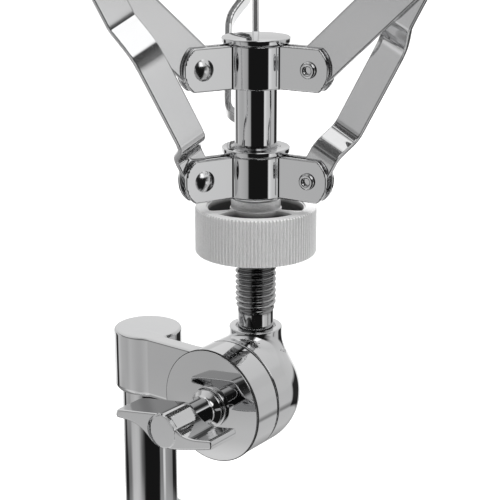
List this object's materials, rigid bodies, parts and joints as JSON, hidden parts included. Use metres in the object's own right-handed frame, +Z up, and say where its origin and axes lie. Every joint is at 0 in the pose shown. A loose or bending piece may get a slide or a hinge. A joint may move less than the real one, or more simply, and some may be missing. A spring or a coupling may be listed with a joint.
{
  "type": "snare drum stand",
  "caption": "Folding tripod stand with a tilting head and three hinged arms that close on a drum's lower hoop when a knurled nut is turned.",
  "frame": {"origin": "on the floor under the height tube's axis", "axes": "+Z up along the tube, +X along the tilter's arm towards the tilting axis, -Y the side of the tilter's wing nut"},
  "size_m": [0.3537, 0.4028, 0.6619],
  "materials": {
    "chrome": "mirror chrome plate",
    "satin_aluminium": "satin, knurled edge",
    "rubber": "matte",
    "nylon": "matte",
    "plug_plastic": "matte"
  },
  "bodies": {
    "base": {"base_tube": "chrome", "base_plug": "plug_plastic", "spreader_bracket": "chrome", "spreader_rivets": "chrome", "height_clamp": "chrome", "clamp_bolt": "chrome"},
    "leg_collar": {"leg_collar": "chrome", "collar_rivets": "chrome"},
    "collar_wing_bolt": {"collar_wing_bolt": "chrome"},
    "clamp_wing_nut": {"clamp_wing_nut": "chrome"},
    "clamp_bush": {"clamp_bush": "nylon"},
    "upright": {"height_tube": "chrome", "tilter_body": "chrome", "tilter_bolt": "chrome", "friction_washer": "nylon", "pressure_washer": "chrome"},
    "tilter_wing_nut": {"tilter_wing_nut": "chrome"},
    "tilter_head": {"tilter_head": "chrome", "socket_screw": "chrome"},
    "basket_post": {"threaded_stem": "chrome", "post_tube": "chrome", "upper_hub": "chrome", "upper_bracket_1": "chrome", "upper_bracket_2": "chrome", "upper_bracket_3": "chrome", "upper_pivot_rivets": "chrome"},
    "lower_hub": {"lower_hub": "chrome", "lower_bracket_1": "chrome", "lower_bracket_2": "chrome", "lower_bracket_3": "chrome", "lower_pivot_rivets": "chrome"},
    "basket_nut": {"basket_nut": "satin_aluminium"},
    "stay_1": {"stay_1": "chrome"},
    "leg_1": {"leg_1_left": "chrome", "leg_1_right": "chrome", "leg_rivets_1": "chrome", "foot_1": "rubber"},
    "arm_1": {"arm_1": "chrome", "strut_rivet_1": "chrome", "grip_1": "rubber"},
    "strut_1": {"strut_1": "chrome"},
    "stay_2": {"stay_2": "chrome"},
    "leg_2": {"leg_2_left": "chrome", "leg_2_right": "chrome", "leg_rivets_2": "chrome", "foot_2": "rubber"},
    "arm_2": {"arm_2": "chrome", "strut_rivet_2": "chrome", "grip_2": "rubber"},
    "strut_2": {"strut_2": "chrome"},
    "stay_3": {"stay_3": "chrome"},
    "leg_3": {"leg_3_left": "chrome", "leg_3_right": "chrome", "leg_rivets_3": "chrome", "foot_3": "rubber"},
    "arm_3": {"arm_3": "chrome", "strut_rivet_3": "chrome", "grip_3": "rubber"},
    "strut_3": {"strut_3": "chrome"}
  },
  "joints": [
    {"name": "stay_1_fold", "type": "hinge", "parent": "base", "child": "stay_1", "pos_m": [0.026, 0, 0.036], "axis": [0, -1, 0], "range_deg": [0, 46]},
    {"name": "leg_1_fold", "type": "hinge", "parent": "stay_1", "child": "leg_1", "pos_m": [0.1048, 0, 0.09757], "axis": [0, -1, 0], "range_deg": [-92, 0]},
    {"name": "stay_2_fold", "type": "hinge", "parent": "base", "child": "stay_2", "pos_m": [-0.013, 0.02252, 0.036], "axis": [0.866, 0.5, 0], "range_deg": [0, 46]},
    {"name": "leg_2_fold", "type": "hinge", "parent": "stay_2", "child": "leg_2", "pos_m": [-0.0524, 0.09076, 0.09757], "axis": [0.866, 0.5, 0], "range_deg": [-92, 0]},
    {"name": "stay_3_fold", "type": "hinge", "parent": "base", "child": "stay_3", "pos_m": [-0.013, -0.02252, 0.036], "axis": [-0.866, 0.5, 0], "range_deg": [0, 46]},
    {"name": "leg_3_fold", "type": "hinge", "parent": "stay_3", "child": "leg_3", "pos_m": [-0.0524, -0.09076, 0.09757], "axis": [-0.866, 0.5, 0], "range_deg": [-92, 0]},
    {"name": "collar_rise", "type": "hinge", "parent": "leg_1", "child": "leg_collar", "pos_m": [0.026, 0, 0.15913], "axis": [0, -1, 0], "range_deg": [0, 46]},
    {"name": "collar_wing_bolt_turn", "type": "hinge", "parent": "leg_collar", "child": "collar_wing_bolt", "pos_m": [-0.01698, 0, 0.15913], "axis": [-1, 0, 0], "continuous": true},
    {"name": "clamp_wing_nut_turn", "type": "hinge", "parent": "base", "child": "clamp_wing_nut", "pos_m": [-0.0065, -0.03032, 0.26951], "axis": [-1, 0, 0], "continuous": true},
    {"name": "height_swivel", "type": "hinge", "parent": "base", "child": "clamp_bush", "pos_m": [0, 0, 0.28751], "axis": [0, 0, 1], "continuous": true},
    {"name": "height_slide", "type": "slide", "parent": "clamp_bush", "child": "upright", "axis": [0, 0, 1], "range_m": [-0.056, 0.08]},
    {"name": "tilter_wing_nut_turn", "type": "hinge", "parent": "upright", "child": "tilter_wing_nut", "pos_m": [0.0482, -0.0478, 0.35961], "axis": [0, -1, 0], "continuous": true},
    {"name": "basket_tilt", "type": "hinge", "parent": "upright", "child": "tilter_head", "pos_m": [0.0482, 0.0022, 0.35961], "axis": [0, 1, 0], "range_deg": [-40, 100]},
    {"name": "basket_swivel", "type": "hinge", "parent": "tilter_head", "child": "basket_post", "pos_m": [0.0482, 0.0204, 0.38871], "axis": [0, 0, 1], "continuous": true},
    {"name": "lower_hub_slide", "type": "slide", "parent": "basket_post", "child": "lower_hub", "axis": [0, 0, 1], "range_m": [-0.0065, 0.0075]},
    {"name": "basket_nut_turn", "type": "hinge", "parent": "lower_hub", "child": "basket_nut", "pos_m": [0.0482, 0.0204, 0.44581], "axis": [0, 0, 1], "range_deg": [-936.5, 1080.5]},
    {"name": "arm_1_fold", "type": "hinge", "parent": "basket_post", "child": "arm_1", "pos_m": [0.07602, 0.02357, 0.50971], "axis": [0.1132, -0.9936, 0], "range_deg": [-14.53, 16.75]},
    {"name": "strut_1_fold", "type": "hinge", "parent": "arm_1", "child": "strut_1", "pos_m": [0.12664, 0.02934, 0.55772], "axis": [0.1132, -0.9936, 0], "range_deg": [-8.2, 7.12]},
    {"name": "arm_2_fold", "type": "hinge", "parent": "basket_post", "child": "arm_2", "pos_m": [0.03154, 0.04291, 0.50971], "axis": [0.8039, 0.5948, 0], "range_deg": [-14.53, 16.75]},
    {"name": "strut_2_fold", "type": "hinge", "parent": "arm_2", "child": "strut_2", "pos_m": [0.00124, 0.08386, 0.55772], "axis": [0.8039, 0.5948, 0], "range_deg": [-8.2, 7.12]},
    {"name": "arm_3_fold", "type": "hinge", "parent": "basket_post", "child": "arm_3", "pos_m": [0.03703, -0.00528, 0.50971], "axis": [-0.9171, 0.3987, 0], "range_deg": [-14.53, 16.75]},
    {"name": "strut_3_fold", "type": "hinge", "parent": "arm_3", "child": "strut_3", "pos_m": [0.01672, -0.052, 0.55772], "axis": [-0.9171, 0.3987, 0], "range_deg": [-8.2, 7.12]}
  ],
  "couplings": [
    {"joint": "leg_1_fold", "follows": "stay_1_fold", "ratio": -2},
    {"joint": "stay_2_fold", "follows": "stay_1_fold", "ratio": 1},
    {"joint": "leg_2_fold", "follows": "stay_1_fold", "ratio": -2},
    {"joint": "stay_3_fold", "follows": "stay_1_fold", "ratio": 1},
    {"joint": "leg_3_fold", "follows": "stay_1_fold", "ratio": -2},
    {"joint": "collar_rise", "follows": "stay_1_fold", "ratio": 1},
    {"joint": "basket_nut_turn", "follows": "lower_hub_slide", "rad_per_m": 2513.3},
    {"joint": "arm_1_fold", "follows": "lower_hub_slide", "rad_per_m": 38.872},
    {"joint": "strut_1_fold", "follows": "lower_hub_slide", "rad_per_m": -18.972},
    {"joint": "arm_2_fold", "follows": "lower_hub_slide", "rad_per_m": 38.872},
    {"joint": "strut_2_fold", "follows": "lower_hub_slide", "rad_per_m": -18.972},
    {"joint": "arm_3_fold", "follows": "lower_hub_slide", "rad_per_m": 38.872},
    {"joint": "strut_3_fold", "follows": "lower_hub_slide", "rad_per_m": -18.972}
  ]
}
